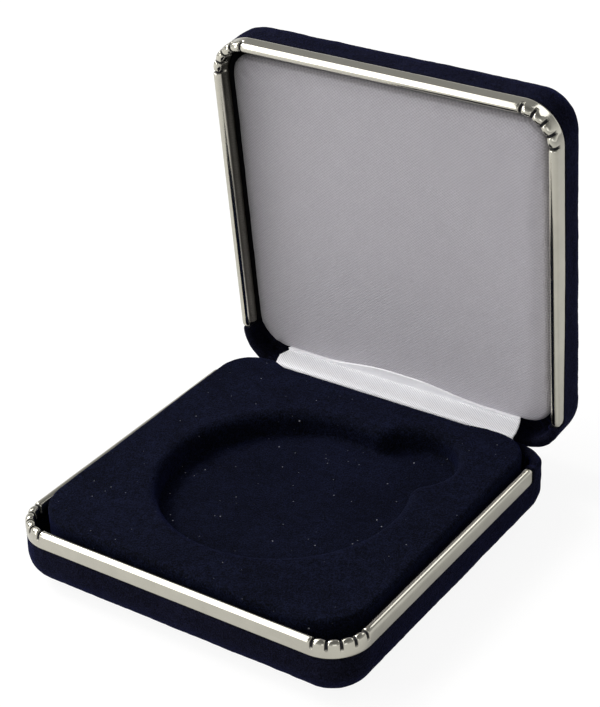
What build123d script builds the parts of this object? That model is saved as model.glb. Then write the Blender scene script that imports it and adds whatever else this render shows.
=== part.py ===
from build123d import *
import os
from math import acos, atan2, cos, degrees, radians, sin, tan

# Coin display case, standing open. Millimetres; +X to the right along the front edge, +Y to the
# hinge side, +Z up. The origin is on the floor under the middle of the base.

# ---- driving dimensions ---------------------------------------------------------------------
# Case body
case_width = 90.0
case_depth = 90.5
base_height = 16.0          # floor to the parting plane between base and lid
lid_height = 15.7           # parting plane to the top of the closed lid
corner_radius = 9.5         # of the square plan
edge_rounding = 7.0         # round where the sides turn into the flat bottom or top
shell_wall = 1.35
velour_thickness = 0.6
underside_card_thickness = 0.5
underside_card_margin = 0.8
underside_card_corner = 4.0

# Metal edge trim, a rolled channel that clips over the rim of each half
band_height = 4.15          # flat outer leg, down from the parting plane
trim_sheet = 0.35
crown_width = 2.3
crown_height = 0.75
trim_leg_depth = 3.6        # inner leg, down from the parting plane
trim_back_gap = 11.3        # from the back face to the ends of the trim
closing_gap = 0.2           # between the two crowns when the lid is shut
kerf_count = 5              # saw cuts that let each front corner bend
kerf_width = 0.4
kerf_depth = 1.75           # down from the top of the crown
kerf_first_angle = 5.0      # from the start of the corner's arc
kerf_last_angle = 85.0

# Velour wrap over the rear rims
rear_rim_round = 1.2
velour_hem_depth = 6.5      # inside hem, down from the parting plane

# Flocked tray with a round coin recess and a thumb notch
tray_rise = 1.6             # deck above the parting plane
tray_side_inset = 3.3       # from the case's outer face
tray_back_inset = 4.45
tray_corner = 12.5
tray_sheet = 0.9
tray_edge_round = 2.0
tray_skirt_height = 9.6
recess_radius = 28.75
recess_depth = 6.1
recess_centre_y = -1.5
recess_rim_round = 2.5
notch_radius = 11.5
notch_x = 19.3              # notch's middle, right of the recess's
notch_back_margin = 7.8     # from the notch to the tray's back edge
notch_blend = 4.0           # plan radius where notch and recess meet
riser_card = 1.2            # card collars that carry the tray and the lid's panel
riser_corner = 7.5
riser_margin = 0.3

# Lid panel: card, foam and satin
panel_depth = 2.4           # satin's face behind the lid's parting plane
panel_side_inset = 3.5
panel_front_inset = 4.35
panel_back_inset = 6.25
panel_corner = 6.5
panel_edge_round = 1.2
satin_thickness = 0.3
foam_thickness = 1.9
board_thickness = 1.2

# Hinge, its pin and snap springs
hinge_inset = 1.9           # axis in front of the case's back face
hinge_drop = 3.0            # axis below the parting plane
lid_open_angle = 85.0
hinge_length = 56.0
knuckle_count = 5
knuckle_gap = 0.15
knuckle_radius = 1.25
pin_radius = 0.65
pin_clearance = 0.05
pin_head_radius = 1.0
pin_head_length = 0.4
leaf_sheet = 0.55
leaf_edge_gap = 0.15        # from a leaf's far edge to where its wall starts to round over
leaf_swing_clearance = 0.2
slot_end_clearance = 1.0    # between the hinge and each end of the slot in the rear wall
slot_drop = 1.6             # slot's edge below the hinge axis
rivet_radius = 0.5
rivet_head_radius = 0.95
rivet_head_height = 0.5
rivet_edge_base = 1.0       # above the base leaf's lower edge
rivet_rise_lid = 5.0        # above the parting plane
spring_sheet = 0.4
spring_width = 6.0
spring_clearance = 0.15     # from the knuckles
spring_reach = 1.0          # tip above the hinge axis
spring_bend_angle = 60.0    # of its jog, from upright
spring_rivet_gap = 0.1

# Satin strip over the hinge
strip_width = 66.6
strip_offset = 1.6          # middle of the strip, right of the case's middle
strip_thickness = 0.3
strip_clearance = 0.45
strip_tuck_base = 5.5       # hangs down behind the tray
strip_tuck_lid = 2.4        # runs on under the lid's panel
strip_bend = 1.2

# ---- derived places -------------------------------------------------------------------------
back_face = case_depth / 2
front_face = -case_depth / 2
side_face = case_width / 2
body_low = underside_card_thickness
case_height = base_height + lid_height
wall_outer_inset = velour_thickness
wall_inner_inset = velour_thickness + shell_wall
hem_inner_inset = wall_inner_inset + velour_thickness
crown_top_drop = closing_gap / 2
rim_drop = crown_top_drop + crown_height
wrap_drop = rim_drop - velour_thickness
trim_end_y = back_face - trim_back_gap
hinge_y = back_face - hinge_inset
hinge_z = base_height - hinge_drop
hinge_axis = Axis((0, hinge_y, hinge_z), (1, 0, 0))
leaf_face_y = back_face - wall_inner_inset
slot_half = hinge_length / 2 + slot_end_clearance
slot_edge_z = hinge_z - slot_drop
knuckle_pitch = hinge_length / knuckle_count
leaf_low = body_low + edge_rounding + leaf_edge_gap - hinge_z
leaf_high = case_height - edge_rounding - leaf_edge_gap - hinge_z
rivet_low = leaf_low + rivet_edge_base
spring_x = 2 * knuckle_pitch
base_floor_top = body_low + wall_inner_inset
lid_ceiling = case_height - wall_inner_inset
tray_back_y = back_face - tray_back_inset
tray_top = base_height + tray_rise
notch_y = tray_back_y - notch_back_margin - notch_radius
panel_face_z = base_height + panel_depth
far = 2 * (case_width + case_depth)


# ---- helpers --------------------------------------------------------------------------------
def box_between(low, high):
    """A box from its lowest to its highest corner."""
    size = [h - l for l, h in zip(low, high)]
    middle = [(h + l) / 2 for l, h in zip(low, high)]
    return Pos(*middle) * Box(*size)


def round_plan(x_half, y_low, y_high, radius):
    """A rounded rectangle, centred on X, between two Y values."""
    plan = RectangleRounded(2 * x_half, y_high - y_low, radius)
    return Pos(0, (y_low + y_high) / 2) * plan


def case_plan(inset):
    """The case's own plan, moved in by inset."""
    return round_plan(side_face - inset, front_face + inset, back_face - inset, corner_radius - inset)


def block(plan, z_low, z_high, low_round=0.0, high_round=0.0):
    """A plan raised between two heights, with its lower or upper edges rounded."""
    solid = extrude(Pos(0, 0, z_low) * plan, z_high - z_low)
    if low_round > 0:
        solid = fillet(solid.faces().sort_by(Axis.Z)[0].edges(), low_round)
    if high_round > 0:
        solid = fillet(solid.faces().sort_by(Axis.Z)[-1].edges(), high_round)
    return solid


def profile_yz(points, x_low, x_high):
    """A closed outline in the YZ plane, drawn about the hinge axis, and run from x_low to x_high."""
    face = Plane.YZ * make_face(Polyline(*points, close=True))
    return Pos(x_low, hinge_y, hinge_z) * extrude(face, x_high - x_low)


def rod(radius, x_low, x_high):
    """A round rod on the hinge axis."""
    return Pos((x_low + x_high) / 2, hinge_y, hinge_z) * Rot(0, 90, 0) * Cylinder(radius, x_high - x_low)


def from_outer_face(part, up):
    """Puts a half that was built from its flat outer face at z=0 into the closed case."""
    if up:
        return Pos(0, 0, body_low) * part
    return Pos(0, 0, case_height) * mirror(part, about=Plane.XY)


def opened(part):
    """Swings a piece of the closed lid to where the lid stands open."""
    return part.rotate(hinge_axis, -lid_open_angle)


# ---- shells and their velour ----------------------------------------------------------------
def shell_outer(depth):
    rounding = edge_rounding - wall_outer_inset
    return block(case_plan(wall_outer_inset), wall_outer_inset, depth - rim_drop, rounding)


def half_shell(depth):
    """A moulded half, rim up, with its flat outer face at z=0; depth is to the parting plane."""
    rounding = edge_rounding - wall_inner_inset
    hollow = block(case_plan(wall_inner_inset), wall_inner_inset, depth + 1, rounding)
    return shell_outer(depth) - hollow


def rear_part(part):
    """What lies behind the ends of the trim."""
    return part & box_between((-far, trim_end_y, -far), (far, far, far))


def half_velour(depth, shell):
    """The glued velour cover: full thickness outside, thin under the band, wrapped over the rear rim."""
    band_low = depth - band_height
    hem_low = depth - velour_hem_depth
    wrap_top = depth - wrap_drop
    outside = block(case_plan(0), 0, band_low, edge_rounding)
    under_band = block(case_plan(trim_sheet), band_low, depth - rim_drop)
    rim = block(case_plan(0), hem_low, wrap_top, high_round=rear_rim_round)
    rim -= block(case_plan(wall_inner_inset), hem_low, depth + 1)
    hem = block(case_plan(wall_inner_inset), hem_low, wrap_top)
    hem -= block(case_plan(hem_inner_inset), hem_low - 1, depth + 1)
    hem -= box_between((-slot_half, trim_end_y, -far), (slot_half, far, far))
    solid_core = block(case_plan(wall_outer_inset), wall_outer_inset, depth,
                       edge_rounding - wall_outer_inset)
    skin = (outside + under_band) - solid_core
    return skin + rear_part(rim - shell) + rear_part(hem)


def slot_cutter(margin):
    """The slot in the base's rear wall that the knuckles lie in, with a margin for its velour."""
    return box_between((-slot_half - margin, leaf_face_y - far, slot_edge_z - margin),
                       (slot_half + margin, back_face + far, far))


def rear_wall_zone():
    """Everything from the rear wall's inner face outward."""
    return box_between((-far, leaf_face_y, -far), (far, far, far))


def make_base_shell():
    shell = from_outer_face(half_shell(base_height - body_low), up=True)
    shell -= slot_cutter(velour_thickness) & rear_wall_zone()
    for x in rivet_places():
        shell -= rivet_hole(x, hinge_z + rivet_low)
    return shell


def make_base_velour():
    depth = base_height - body_low
    shell = half_shell(depth) - Pos(0, 0, -body_low) * (slot_cutter(velour_thickness) & rear_wall_zone())
    cover = from_outer_face(half_velour(depth, shell), up=True)
    return cover - (slot_cutter(0) & rear_wall_zone())


def make_lid_shell():
    shell = from_outer_face(half_shell(lid_height), up=False)
    for x in rivet_places():
        shell -= rivet_hole(x, base_height + rivet_rise_lid)
    return shell


def make_lid_velour():
    return from_outer_face(half_velour(lid_height, half_shell(lid_height)), up=False)


def make_underside_card():
    inset = edge_rounding + underside_card_margin
    plan = round_plan(side_face - inset, front_face + inset, back_face - inset, underside_card_corner)
    return block(plan, 0, underside_card_thickness)


# ---- edge trim ------------------------------------------------------------------------------
def trim_section(outer_low, inner_low, crown_low):
    """The channel's section: u runs inward from the outer face, v up from the floor."""
    middle = crown_width / 2
    inner_half = middle - trim_sheet
    inner_rise = crown_height - trim_sheet
    outside = EllipticalCenterArc((middle, crown_low), middle, crown_height, 0, arc_size=180)
    inside = EllipticalCenterArc((middle, crown_low), inner_half, inner_rise, 0, arc_size=180)
    edges = [
        outside,
        Line((crown_width, crown_low), (crown_width, inner_low)),
        Line((crown_width, inner_low), (crown_width - trim_sheet, inner_low)),
        Line((crown_width - trim_sheet, inner_low), (crown_width - trim_sheet, crown_low)),
        inside,
        Line((trim_sheet, crown_low), (trim_sheet, outer_low)),
        Line((trim_sheet, outer_low), (0, outer_low)),
        Line((0, outer_low), (0, crown_low)),
    ]
    return make_face(edges)


def trim_path():
    """Along the left side, the front and the right side, on the case's outer face."""
    straight_x = side_face - corner_radius
    straight_y = front_face + corner_radius
    slant = corner_radius * (1 - cos(radians(45)))
    left_middle = (-side_face + slant, front_face + slant)
    right_middle = (side_face - slant, front_face + slant)
    return Wire([
        Line((-side_face, trim_end_y), (-side_face, straight_y)),
        ThreePointArc((-side_face, straight_y), left_middle, (-straight_x, front_face)),
        Line((-straight_x, front_face), (straight_x, front_face)),
        ThreePointArc((straight_x, front_face), right_middle, (side_face, straight_y)),
        Line((side_face, straight_y), (side_face, trim_end_y)),
    ])


def kerfs(top):
    """Saw cuts across the crown, fanned round both front corners."""
    step = (kerf_last_angle - kerf_first_angle) / max(kerf_count - 1, 1)
    cuts = []
    for side in (-1, 1):
        middle_x = side * (side_face - corner_radius)
        middle_y = front_face + corner_radius
        for number in range(kerf_count):
            angle = -90 + side * (kerf_first_angle + step * number)
            cut = box_between((corner_radius - crown_width - 1, -kerf_width / 2, top - kerf_depth),
                              (corner_radius + 1, kerf_width / 2, top + 1))
            cuts.append(Pos(middle_x, middle_y, 0) * Rot(0, 0, angle) * cut)
    return cuts


def make_trim(depth, up):
    """The edge trim of one half."""
    top = depth - crown_top_drop
    section = trim_section(depth - band_height, depth - trim_leg_depth, depth - rim_drop)
    start = Plane(origin=(-side_face, trim_end_y, 0), x_dir=(1, 0, 0), z_dir=(0, -1, 0))
    channel = sweep(start * section, path=trim_path())
    for cut in kerfs(top):
        channel -= cut
    return from_outer_face(channel, up)


# ---- tray and its riser ---------------------------------------------------------------------
def tray_plan(inset):
    return round_plan(side_face - tray_side_inset - inset, front_face + tray_side_inset + inset,
                      tray_back_y - inset, tray_corner - inset)


def polar(centre, radius, angle):
    """The point at an angle in degrees on a circle."""
    return centre + Vector(radius * cos(radians(angle)), radius * sin(radians(angle)))


def recess_plan(offset_out):
    """The coin's circle and the thumb notch, joined by blend arcs into one smooth outline."""
    coin = Vector(0, recess_centre_y)
    notch = Vector(notch_x, notch_y)
    notch_distance = (notch - coin).length
    notch_angle = degrees(atan2(notch.Y - coin.Y, notch.X - coin.X))
    to_blend = recess_radius + notch_blend
    across = notch_radius + notch_blend
    cosine = (to_blend ** 2 + notch_distance ** 2 - across ** 2) / (2 * to_blend * notch_distance)
    spread = degrees(acos(cosine))
    coin_ends, notch_ends, blend_middles = [], [], []
    for side in (-1, 1):
        blend = polar(coin, to_blend, notch_angle + side * spread)
        on_coin = coin + (blend - coin).normalized() * (recess_radius + offset_out)
        on_notch = notch + (blend - notch).normalized() * (notch_radius + offset_out)
        toward = ((on_coin + on_notch) / 2 - blend).normalized()
        coin_ends.append(on_coin)
        notch_ends.append(on_notch)
        blend_middles.append(blend + toward * (notch_blend - offset_out))
    coin_far = polar(coin, recess_radius + offset_out, notch_angle + 180)
    notch_far = polar(notch, notch_radius + offset_out, notch_angle)
    return make_face([
        ThreePointArc(coin_ends[1], coin_far, coin_ends[0]),
        ThreePointArc(coin_ends[0], blend_middles[0], notch_ends[0]),
        ThreePointArc(notch_ends[0], notch_far, notch_ends[1]),
        ThreePointArc(notch_ends[1], blend_middles[1], coin_ends[1]),
    ])


def make_coin_tray():
    recess_floor = tray_top - recess_depth
    skirt_low = tray_top - tray_skirt_height
    body = block(tray_plan(0), skirt_low, tray_top, high_round=tray_edge_round)
    body -= extrude(Pos(0, 0, recess_floor) * recess_plan(0), recess_depth + 1)
    rim = [edge for edge in body.faces().sort_by(Axis.Z)[-1].inner_wires()[0].edges()]
    body = fillet(rim, recess_rim_round)
    hollow = block(tray_plan(tray_sheet), skirt_low - 1, tray_top - tray_sheet,
                   high_round=tray_edge_round - tray_sheet)
    hollow -= extrude(Pos(0, 0, recess_floor - tray_sheet) * recess_plan(tray_sheet), far)
    under_rim = hollow.faces().sort_by(Axis.Z)[-1].inner_wires()[0].edges()
    hollow = fillet(under_rim, recess_rim_round - tray_sheet)
    return body - hollow


def collar(z_low, z_high):
    """A card collar that stands on the flat of a shell."""
    inset = edge_rounding + riser_margin
    outer = round_plan(side_face - inset, front_face + inset, back_face - inset, riser_corner)
    inset += riser_card
    inner = round_plan(side_face - inset, front_face + inset, back_face - inset,
                       riser_corner - riser_card)
    return block(outer, z_low, z_high) - block(inner, z_low, z_high)


def make_tray_riser():
    return collar(base_floor_top, tray_top - tray_sheet)


# ---- lid panel ------------------------------------------------------------------------------
def panel_plan(inset):
    return round_plan(side_face - panel_side_inset - inset, front_face + panel_front_inset + inset,
                      back_face - panel_back_inset - inset, panel_corner - inset)


def panel_levels():
    """Heights in the closed case: satin face, foam face, card face and the card's back."""
    foam_face = panel_face_z + satin_thickness
    board_face = foam_face + foam_thickness
    return panel_face_z, foam_face, board_face, board_face + board_thickness


def make_lid_lining():
    satin_face, foam_face, board_face, board_back = panel_levels()
    outer = block(panel_plan(0), satin_face, board_back, low_round=panel_edge_round)
    inner = block(panel_plan(satin_thickness), foam_face, board_back,
                  low_round=panel_edge_round - satin_thickness)
    return outer - inner


def make_lid_foam():
    satin_face, foam_face, board_face, board_back = panel_levels()
    return block(panel_plan(satin_thickness), foam_face, board_face,
                 low_round=panel_edge_round - satin_thickness)


def make_lid_board():
    satin_face, foam_face, board_face, board_back = panel_levels()
    return block(panel_plan(satin_thickness), board_face, board_back)


def make_lid_riser():
    return collar(panel_levels()[3], lid_ceiling)


# ---- hinge ----------------------------------------------------------------------------------
def knuckle_spans(first):
    """X ranges of every second knuckle, from number first on."""
    spans = []
    for number in range(first, knuckle_count, 2):
        start = -hinge_length / 2 + number * knuckle_pitch
        spans.append((start + knuckle_gap / 2, start + knuckle_pitch - knuckle_gap / 2))
    return spans


def knuckles(first):
    rolls = None
    for x_low, x_high in knuckle_spans(first):
        roll = rod(knuckle_radius, x_low, x_high)
        rolls = roll if rolls is None else rolls + roll
    return rolls


def clear_of_knuckles(leaf, first):
    """Cuts a leaf back from the other leaf's knuckles."""
    for x_low, x_high in knuckle_spans(first):
        leaf -= rod(knuckle_radius + leaf_swing_clearance, x_low - knuckle_gap, x_high + knuckle_gap)
    return leaf


def bored(part):
    return part - rod(pin_radius + pin_clearance, -hinge_length, hinge_length)


def rivet_hole(x, z):
    """A drill for one rivet, through leaf and wall but not through the velour."""
    start = leaf_face_y - leaf_sheet - spring_sheet - 1
    end = back_face - wall_outer_inset
    return Pos(x, (start + end) / 2, z) * Rot(90, 0, 0) * Cylinder(rivet_radius, end - start)


def rivet(x, z, head_y):
    """A shank through leaf and wall, flush outside, with a domed head inside at head_y."""
    shank_end = back_face - wall_outer_inset
    shank = Pos(x, (head_y + shank_end) / 2, z) * Rot(90, 0, 0) * Cylinder(rivet_radius, shank_end - head_y)
    middle_y = head_y - rivet_head_height / 2
    head = Pos(x, middle_y, z) * Rot(90, 0, 0) * Cylinder(rivet_head_radius, rivet_head_height)
    head = fillet(head.faces().sort_by(Axis.Y)[0].edges(), rivet_head_height * 0.7)
    return shank + head


def rivet_places():
    """One rivet at the middle of each knuckle but the centre one."""
    return (-spring_x, -knuckle_pitch, knuckle_pitch, spring_x)


def leaf_plane():
    """Outer and inner faces of both leaves, from the hinge axis."""
    outer = leaf_face_y - hinge_y
    return outer, outer - leaf_sheet


def make_hinge_leaf_base():
    """Rolled leaf with every second knuckle, flat against the base's rear wall."""
    outer, inner = leaf_plane()
    top = -(knuckle_radius + pin_radius) / 2
    plate = profile_yz([(outer, top), (outer, leaf_low), (inner, leaf_low), (inner, top)],
                       -hinge_length / 2, hinge_length / 2)
    leaf = bored(clear_of_knuckles(plate, 0) + knuckles(1))
    for x in rivet_places():
        leaf -= rivet_hole(x, hinge_z + rivet_low)
    return leaf


def make_hinge_leaf_lid():
    """Rolled leaf that leaves the knuckles' rear side and jogs in behind the lid's rear wall."""
    outer, inner = leaf_plane()
    rear = knuckle_radius
    front = knuckle_radius - leaf_sheet
    jog_start = knuckle_radius
    jog_end = hinge_drop - leaf_swing_clearance
    shift = leaf_sheet * 0.45
    points = [(rear, 0), (rear, jog_start), (outer, jog_end), (outer, leaf_high),
              (inner, leaf_high), (inner, jog_end - shift), (front, jog_start - shift), (front, 0)]
    plate = profile_yz(points, -hinge_length / 2, hinge_length / 2)
    leaf = bored(clear_of_knuckles(plate, 1) + knuckles(0))
    for x in rivet_places():
        leaf -= rivet_hole(x, base_height + rivet_rise_lid)
    return leaf


def make_hinge_pin():
    half = hinge_length / 2
    pin = rod(pin_radius, -half - pin_head_length, half + pin_head_length)
    for x_low, x_high in ((-half - pin_head_length, -half), (half, half + pin_head_length)):
        pin += rod(pin_head_radius, x_low, x_high)
    return pin


def make_snap_spring(side):
    """A flat spring under the outer rivet, jogged so that its tip stands in front of the end knuckle."""
    foot = leaf_plane()[1]
    tip = -knuckle_radius - spring_clearance
    thickness_shift = spring_sheet * tan(radians(spring_bend_angle / 2))
    bend_low = rivet_low + rivet_head_radius + spring_rivet_gap + thickness_shift
    bend_high = bend_low + (foot - tip) / tan(radians(spring_bend_angle))
    points = [(foot, leaf_low), (foot, bend_low), (tip, bend_high), (tip, spring_reach),
              (tip - spring_sheet, spring_reach), (tip - spring_sheet, bend_high - thickness_shift),
              (foot - spring_sheet, bend_low - thickness_shift), (foot - spring_sheet, leaf_low)]
    middle = side * spring_x
    spring = profile_yz(points, middle - spring_width / 2, middle + spring_width / 2)
    return spring - rivet_hole(middle, hinge_z + rivet_low)


def make_base_rivets():
    inner = leaf_plane()[1]
    group = []
    for x in rivet_places():
        under_head = inner - spring_sheet if abs(x) == spring_x else inner
        group.append(rivet(x, hinge_z + rivet_low, hinge_y + under_head))
    return Compound(children=group)


def make_lid_rivets():
    head_y = hinge_y + leaf_plane()[1]
    group = [opened(rivet(x, base_height + rivet_rise_lid, head_y)) for x in rivet_places()]
    return Compound(children=group)


# ---- satin strip ----------------------------------------------------------------------------
def make_hinge_strip():
    """Glued behind the tray, over the hinge and under the lid's panel, as it lies with the lid open."""
    panel_corner_y = back_face - panel_back_inset - hinge_y
    panel_corner_z = panel_face_z - hinge_z
    c, s = cos(radians(lid_open_angle)), sin(radians(lid_open_angle))
    lip_y = panel_corner_y * c + panel_corner_z * s
    lip_z = -panel_corner_y * s + panel_corner_z * c
    outer = tray_back_y - hinge_y + strip_clearance
    top = lip_z - strip_clearance
    path = FilletPolyline((outer, top - strip_tuck_base), (outer, top), (lip_y + strip_tuck_lid, top),
                          radius=strip_bend)
    ribbon = Plane.YZ * trace(path, line_width=strip_thickness)
    x_low = strip_offset - strip_width / 2
    return Pos(x_low, hinge_y, hinge_z) * extrude(ribbon, strip_width)


# ---- build and write ------------------------------------------------------------------------
def all_parts():
    return {
        "base_shell": make_base_shell(),
        "base_velour": make_base_velour(),
        "base_trim": make_trim(base_height - body_low, up=True),
        "underside_card": make_underside_card(),
        "coin_tray": make_coin_tray(),
        "tray_riser": make_tray_riser(),
        "hinge_leaf_base": make_hinge_leaf_base(),
        "hinge_pin": make_hinge_pin(),
        "snap_spring_left": make_snap_spring(-1),
        "snap_spring_right": make_snap_spring(1),
        "base_rivets": make_base_rivets(),
        "hinge_strip": make_hinge_strip(),
        "lid_shell": opened(make_lid_shell()),
        "lid_velour": opened(make_lid_velour()),
        "lid_trim": opened(make_trim(lid_height, up=False)),
        "lid_riser": opened(make_lid_riser()),
        "lid_board": opened(make_lid_board()),
        "lid_foam": opened(make_lid_foam()),
        "lid_lining": opened(make_lid_lining()),
        "hinge_leaf_lid": opened(make_hinge_leaf_lid()),
        "lid_rivets": make_lid_rivets(),
    }


os.makedirs("parts", exist_ok=True)
for name, part in all_parts().items():
    export_step(part, f"parts/{name}.step")
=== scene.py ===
import math

import bpy
import numpy as np
from mathutils import Matrix, Vector, noise


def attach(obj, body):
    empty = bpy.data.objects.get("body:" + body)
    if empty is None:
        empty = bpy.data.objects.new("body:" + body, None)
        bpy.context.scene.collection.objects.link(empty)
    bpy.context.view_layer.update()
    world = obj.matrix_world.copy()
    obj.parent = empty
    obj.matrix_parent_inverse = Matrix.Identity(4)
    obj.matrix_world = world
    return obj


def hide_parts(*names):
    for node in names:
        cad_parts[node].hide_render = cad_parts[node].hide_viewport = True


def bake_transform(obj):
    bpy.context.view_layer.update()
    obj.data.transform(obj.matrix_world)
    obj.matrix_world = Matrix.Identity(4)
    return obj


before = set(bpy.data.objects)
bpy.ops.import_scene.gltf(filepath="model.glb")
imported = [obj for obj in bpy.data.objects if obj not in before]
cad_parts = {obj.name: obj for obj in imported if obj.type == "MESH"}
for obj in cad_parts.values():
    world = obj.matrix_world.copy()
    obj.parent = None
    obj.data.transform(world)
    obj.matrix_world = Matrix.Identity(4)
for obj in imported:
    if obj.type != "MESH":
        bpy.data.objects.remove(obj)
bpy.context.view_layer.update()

MM = 0.001

# Lengths are in millimetres until a mesh is made. The covers, the moulding and the trims are
# worked out as one half of the case, z up from its outer flat face, and placed() puts that half
# into the base or the open lid. An inset is a distance inwards from the case's outline.

# ---- the case, as in the CAD model -----------------------------------------------------------
SIDE, FRONT, BACK = 45.0, -45.25, 45.25
CORNER = 9.5                                    # plan radius of the corners
BODY_LOW, PARTING, CASE_TOP = 0.5, 16.0, 31.7
BASE_DEPTH, LID_DEPTH = PARTING - BODY_LOW, CASE_TOP - PARTING
EDGE_ROUND = 7.0                                # round between the flat outer face and the sides
HINGE_Y, HINGE_Z = BACK - 1.9, PARTING - 3.0
OPEN = math.radians(85)
SLOT_HALF, SLOT_EDGE = 29.0, HINGE_Z - 1.6      # the dip in the base's rear wall for the hinge

# ---- edge trim -------------------------------------------------------------------------------
BAND = 4.15                                     # height of the outer band
LEG = 3.6                                       # height of the inner leg
SHEET = 0.35                                    # the metal's thickness
CROWN_WIDTH, CROWN_HEIGHT = 2.3, 0.75           # across the rim, and over it
CROWN_TOP_DROP = 0.1                            # from the parting plane to the crown's top
BEAD_HEIGHT = 1.1                               # height of the crown's rounded part
TRIM_END = BACK - 11.3                          # where the trim stops on both sides
LID_TRIM_EXTRA = (0.7, 2.6)                     # how much further the lid's goes, left and right
END_ROUND = 1.4                                 # how far before its ends the trim draws in
KERF_ANGLES = (5, 25, 45, 65, 85)               # saw cuts round each front corner
KERF_DEPTH = 2.05                               # from the crown's top
KERF_HALF, KERF_SLOPE = 0.27, 0.16              # half a cut's width, and its sloped side's

# ---- cloth -----------------------------------------------------------------------------------
RIM_DROP = CROWN_TOP_DROP + CROWN_HEIGHT        # the moulding's rim under the trim
WRAP_DROP = RIM_DROP - 0.6                      # the cloth's top where it goes over the rear rim
WALL_INNER = 1.95                               # inset of the moulding's inner face
HEM_INNER, HEM_LOW = 2.55, 6.5                  # the turned-in cloth's inset and depth
REAR_ROUND, INNER_ROUND = 1.2, 0.9              # rounds of the wrapped rear rim
PILE_THICKNESS = 0.45
SECTION_POINTS = 40                             # points across the cloth from its lap inwards
FACE_RINGS = 22                                 # rings that close the flat outer face


# ---- helpers ---------------------------------------------------------------------------------
def smooth(x):
    x = np.clip(x, 0, 1)
    return x * x * (3 - 2 * x)


def wave(points, scale, seed=0.0):
    """Smooth noise from -1 to 1 at each point; scale is the size of its lumps."""
    shift = Vector((seed, seed * 0.7, -seed * 1.3))
    return np.array([noise.noise(Vector(p) / scale + shift) for p in points])


def arc_angles(first, last, count):
    """Angles in radians from first to last degrees."""
    return np.radians(np.linspace(first, last, count))


def swung(points, angle):
    """Points turned about the hinge's axis, positive to open."""
    p = np.array(points, float)
    y, z = p[..., 1] - HINGE_Y, p[..., 2] - HINGE_Z
    p[..., 1] = HINGE_Y + y * math.cos(angle) + z * math.sin(angle)
    p[..., 2] = HINGE_Z - y * math.sin(angle) + z * math.cos(angle)
    return p


def opened(points):
    """Closed-case points, swung to where the lid stands open."""
    return swung(points, OPEN)


def shut(points):
    """Open-lid points, swung back to where the lid is closed."""
    return swung(points, -OPEN)


def placed(points, lid):
    """Points of one half, put into the base or the open lid."""
    p = np.array(points, float)
    if lid:
        p[..., 2] = CASE_TOP - p[..., 2]
        return opened(p)
    p[..., 2] += BODY_LOW
    return p


def level(xy, z):
    """Plan points at one height."""
    return np.column_stack([xy, np.full(len(xy), z)])


def resampled(points, count):
    """A polyline cut into evenly spaced points."""
    p = np.array(points, float)
    along = np.concatenate([[0], np.cumsum(np.linalg.norm(np.diff(p, axis=0), axis=1))])
    at = np.linspace(0, along[-1], count)
    return np.stack([np.interp(at, along, p[:, k]) for k in range(p.shape[1])], axis=1)


def grid_faces(rows, cols, wrap_rows=False, wrap_cols=False, flip=False):
    faces = []
    for i in range(rows if wrap_rows else rows - 1):
        for j in range(cols if wrap_cols else cols - 1):
            a, b = i * cols + j, i * cols + (j + 1) % cols
            c, d = ((i + 1) % rows) * cols + (j + 1) % cols, ((i + 1) % rows) * cols + j
            faces.append((d, c, b, a) if flip else (a, b, c, d))
    return faces


def new_object(name, verts, faces):
    mesh = bpy.data.meshes.new(name)
    mesh.from_pydata([tuple(v) for v in np.array(verts) * MM], [], faces)
    mesh.update()
    mesh.shade_smooth()
    obj = bpy.data.objects.new(name, mesh)
    bpy.context.scene.collection.objects.link(obj)
    return obj


def read_points(mesh, what="co"):
    values = np.zeros(len(mesh.vertices) * 3)
    mesh.vertices.foreach_get(what, values)
    return values.reshape(-1, 3)


def write_points(mesh, points):
    mesh.vertices.foreach_set("co", points.reshape(-1))
    mesh.update()


def evaluated_mesh(obj):
    return bpy.data.meshes.new_from_object(obj.evaluated_get(bpy.context.evaluated_depsgraph_get()))


def push(obj, offsets):
    """Moves each vertex along its normal by an offset in mm."""
    co, normal = read_points(obj.data), read_points(obj.data, "normal")
    write_points(obj.data, co + normal * offsets[:, None] * MM)


def solidify(obj, thickness):
    modifier = obj.modifiers.new("thickness", "SOLIDIFY")
    modifier.thickness = thickness * MM
    modifier.offset = -1


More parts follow.
